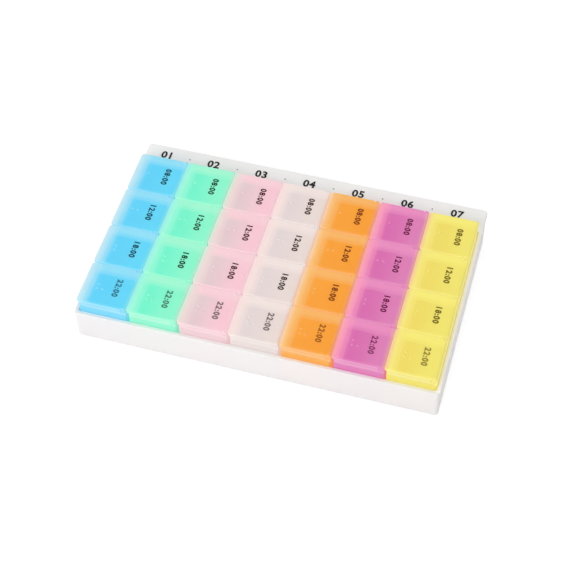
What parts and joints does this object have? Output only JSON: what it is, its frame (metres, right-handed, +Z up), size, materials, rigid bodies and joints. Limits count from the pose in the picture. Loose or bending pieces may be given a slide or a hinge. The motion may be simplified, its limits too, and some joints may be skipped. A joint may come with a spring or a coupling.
{
  "type": "weekly pill organizer",
  "caption": "Tray with a label shelf holding a row of lift-out day boxes, each divided into compartments with a hinged lid over each.",
  "frame": {"origin": "on the surface it stands on, under the middle of the tray's outline", "axes": "+X along the week from the first day box to the last, +Y towards the label shelf at the back, +Z up"},
  "size_m": [0.214, 0.1354, 0.0312],
  "materials": {
    "tray_white": "satin, opaque moulded plastic",
    "blue": "satin, frosted see-through moulded plastic",
    "mint": "satin, frosted see-through moulded plastic",
    "pink": "satin, frosted see-through moulded plastic",
    "clear": "satin, frosted see-through moulded plastic",
    "orange": "satin, frosted see-through moulded plastic",
    "purple": "satin, frosted see-through moulded plastic",
    "yellow": "satin, frosted see-through moulded plastic"
  },
  "bodies": {
    "tray": {"tray": "tray_white"},
    "sunday_box": {"sunday_box": "blue"},
    "sunday_lid_1": {"sunday_lid_1": "blue"},
    "sunday_lid_2": {"sunday_lid_2": "blue"},
    "sunday_lid_3": {"sunday_lid_3": "blue"},
    "sunday_lid_4": {"sunday_lid_4": "blue"},
    "monday_box": {"monday_box": "mint"},
    "monday_lid_1": {"monday_lid_1": "mint"},
    "monday_lid_2": {"monday_lid_2": "mint"},
    "monday_lid_3": {"monday_lid_3": "mint"},
    "monday_lid_4": {"monday_lid_4": "mint"},
    "tuesday_box": {"tuesday_box": "pink"},
    "tuesday_lid_1": {"tuesday_lid_1": "pink"},
    "tuesday_lid_2": {"tuesday_lid_2": "pink"},
    "tuesday_lid_3": {"tuesday_lid_3": "pink"},
    "tuesday_lid_4": {"tuesday_lid_4": "pink"},
    "wednesday_box": {"wednesday_box": "clear"},
    "wednesday_lid_1": {"wednesday_lid_1": "clear"},
    "wednesday_lid_2": {"wednesday_lid_2": "clear"},
    "wednesday_lid_3": {"wednesday_lid_3": "clear"},
    "wednesday_lid_4": {"wednesday_lid_4": "clear"},
    "thursday_box": {"thursday_box": "orange"},
    "thursday_lid_1": {"thursday_lid_1": "orange"},
    "thursday_lid_2": {"thursday_lid_2": "orange"},
    "thursday_lid_3": {"thursday_lid_3": "orange"},
    "thursday_lid_4": {"thursday_lid_4": "orange"},
    "friday_box": {"friday_box": "purple"},
    "friday_lid_1": {"friday_lid_1": "purple"},
    "friday_lid_2": {"friday_lid_2": "purple"},
    "friday_lid_3": {"friday_lid_3": "purple"},
    "friday_lid_4": {"friday_lid_4": "purple"},
    "saturday_box": {"saturday_box": "yellow"},
    "saturday_lid_1": {"saturday_lid_1": "yellow"},
    "saturday_lid_2": {"saturday_lid_2": "yellow"},
    "saturday_lid_3": {"saturday_lid_3": "yellow"},
    "saturday_lid_4": {"saturday_lid_4": "yellow"}
  },
  "joints": [
    {"name": "sunday_lift", "type": "slide", "parent": "tray", "child": "sunday_box", "axis": [0, 0, 1], "range_m": [0, 0.04]},
    {"name": "sunday_lid_1_hinge", "type": "hinge", "parent": "sunday_box", "child": "sunday_lid_1", "pos_m": [-0.0772, 0.0364, 0.0293], "axis": [0, 1, 0], "range_deg": [0, 95]},
    {"name": "sunday_lid_2_hinge", "type": "hinge", "parent": "sunday_box", "child": "sunday_lid_2", "pos_m": [-0.0772, 0.0074, 0.0293], "axis": [0, 1, 0], "range_deg": [0, 95]},
    {"name": "sunday_lid_3_hinge", "type": "hinge", "parent": "sunday_box", "child": "sunday_lid_3", "pos_m": [-0.0772, -0.0216, 0.0293], "axis": [0, 1, 0], "range_deg": [0, 95]},
    {"name": "sunday_lid_4_hinge", "type": "hinge", "parent": "sunday_box", "child": "sunday_lid_4", "pos_m": [-0.0772, -0.0506, 0.0293], "axis": [0, 1, 0], "range_deg": [0, 95]},
    {"name": "monday_lift", "type": "slide", "parent": "tray", "child": "monday_box", "axis": [0, 0, 1], "range_m": [0, 0.04]},
    {"name": "monday_lid_1_hinge", "type": "hinge", "parent": "monday_box", "child": "monday_lid_1", "pos_m": [-0.0472, 0.0364, 0.0293], "axis": [0, 1, 0], "range_deg": [0, 95]},
    {"name": "monday_lid_2_hinge", "type": "hinge", "parent": "monday_box", "child": "monday_lid_2", "pos_m": [-0.0472, 0.0074, 0.0293], "axis": [0, 1, 0], "range_deg": [0, 95]},
    {"name": "monday_lid_3_hinge", "type": "hinge", "parent": "monday_box", "child": "monday_lid_3", "pos_m": [-0.0472, -0.0216, 0.0293], "axis": [0, 1, 0], "range_deg": [0, 95]},
    {"name": "monday_lid_4_hinge", "type": "hinge", "parent": "monday_box", "child": "monday_lid_4", "pos_m": [-0.0472, -0.0506, 0.0293], "axis": [0, 1, 0], "range_deg": [0, 95]},
    {"name": "tuesday_lift", "type": "slide", "parent": "tray", "child": "tuesday_box", "axis": [0, 0, 1], "range_m": [0, 0.04]},
    {"name": "tuesday_lid_1_hinge", "type": "hinge", "parent": "tuesday_box", "child": "tuesday_lid_1", "pos_m": [-0.0172, 0.0364, 0.0293], "axis": [0, 1, 0], "range_deg": [0, 95]},
    {"name": "tuesday_lid_2_hinge", "type": "hinge", "parent": "tuesday_box", "child": "tuesday_lid_2", "pos_m": [-0.0172, 0.0074, 0.0293], "axis": [0, 1, 0], "range_deg": [0, 95]},
    {"name": "tuesday_lid_3_hinge", "type": "hinge", "parent": "tuesday_box", "child": "tuesday_lid_3", "pos_m": [-0.0172, -0.0216, 0.0293], "axis": [0, 1, 0], "range_deg": [0, 95]},
    {"name": "tuesday_lid_4_hinge", "type": "hinge", "parent": "tuesday_box", "child": "tuesday_lid_4", "pos_m": [-0.0172, -0.0506, 0.0293], "axis": [0, 1, 0], "range_deg": [0, 95]},
    {"name": "wednesday_lift", "type": "slide", "parent": "tray", "child": "wednesday_box", "axis": [0, 0, 1], "range_m": [0, 0.04]},
    {"name": "wednesday_lid_1_hinge", "type": "hinge", "parent": "wednesday_box", "child": "wednesday_lid_1", "pos_m": [0.0128, 0.0364, 0.0293], "axis": [0, 1, 0], "range_deg": [0, 95]},
    {"name": "wednesday_lid_2_hinge", "type": "hinge", "parent": "wednesday_box", "child": "wednesday_lid_2", "pos_m": [0.0128, 0.0074, 0.0293], "axis": [0, 1, 0], "range_deg": [0, 95]},
    {"name": "wednesday_lid_3_hinge", "type": "hinge", "parent": "wednesday_box", "child": "wednesday_lid_3", "pos_m": [0.0128, -0.0216, 0.0293], "axis": [0, 1, 0], "range_deg": [0, 95]},
    {"name": "wednesday_lid_4_hinge", "type": "hinge", "parent": "wednesday_box", "child": "wednesday_lid_4", "pos_m": [0.0128, -0.0506, 0.0293], "axis": [0, 1, 0], "range_deg": [0, 95]},
    {"name": "thursday_lift", "type": "slide", "parent": "tray", "child": "thursday_box", "axis": [0, 0, 1], "range_m": [0, 0.04]},
    {"name": "thursday_lid_1_hinge", "type": "hinge", "parent": "thursday_box", "child": "thursday_lid_1", "pos_m": [0.0428, 0.0364, 0.0293], "axis": [0, 1, 0], "range_deg": [0, 95]},
    {"name": "thursday_lid_2_hinge", "type": "hinge", "parent": "thursday_box", "child": "thursday_lid_2", "pos_m": [0.0428, 0.0074, 0.0293], "axis": [0, 1, 0], "range_deg": [0, 95]},
    {"name": "thursday_lid_3_hinge", "type": "hinge", "parent": "thursday_box", "child": "thursday_lid_3", "pos_m": [0.0428, -0.0216, 0.0293], "axis": [0, 1, 0], "range_deg": [0, 95]},
    {"name": "thursday_lid_4_hinge", "type": "hinge", "parent": "thursday_box", "child": "thursday_lid_4", "pos_m": [0.0428, -0.0506, 0.0293], "axis": [0, 1, 0], "range_deg": [0, 95]},
    {"name": "friday_lift", "type": "slide", "parent": "tray", "child": "friday_box", "axis": [0, 0, 1], "range_m": [0, 0.04]},
    {"name": "friday_lid_1_hinge", "type": "hinge", "parent": "friday_box", "child": "friday_lid_1", "pos_m": [0.0728, 0.0364, 0.0293], "axis": [0, 1, 0], "range_deg": [0, 95]},
    {"name": "friday_lid_2_hinge", "type": "hinge", "parent": "friday_box", "child": "friday_lid_2", "pos_m": [0.0728, 0.0074, 0.0293], "axis": [0, 1, 0], "range_deg": [0, 95]},
    {"name": "friday_lid_3_hinge", "type": "hinge", "parent": "friday_box", "child": "friday_lid_3", "pos_m": [0.0728, -0.0216, 0.0293], "axis": [0, 1, 0], "range_deg": [0, 95]},
    {"name": "friday_lid_4_hinge", "type": "hinge", "parent": "friday_box", "child": "friday_lid_4", "pos_m": [0.0728, -0.0506, 0.0293], "axis": [0, 1, 0], "range_deg": [0, 95]},
    {"name": "saturday_lift", "type": "slide", "parent": "tray", "child": "saturday_box", "axis": [0, 0, 1], "range_m": [0, 0.04]},
    {"name": "saturday_lid_1_hinge", "type": "hinge", "parent": "saturday_box", "child": "saturday_lid_1", "pos_m": [0.1028, 0.0364, 0.0293], "axis": [0, 1, 0], "range_deg": [0, 95]},
    {"name": "saturday_lid_2_hinge", "type": "hinge", "parent": "saturday_box", "child": "saturday_lid_2", "pos_m": [0.1028, 0.0074, 0.0293], "axis": [0, 1, 0], "range_deg": [0, 95]},
    {"name": "saturday_lid_3_hinge", "type": "hinge", "parent": "saturday_box", "child": "saturday_lid_3", "pos_m": [0.1028, -0.0216, 0.0293], "axis": [0, 1, 0], "range_deg": [0, 95]},
    {"name": "saturday_lid_4_hinge", "type": "hinge", "parent": "saturday_box", "child": "saturday_lid_4", "pos_m": [0.1028, -0.0506, 0.0293], "axis": [0, 1, 0], "range_deg": [0, 95]}
  ]
}
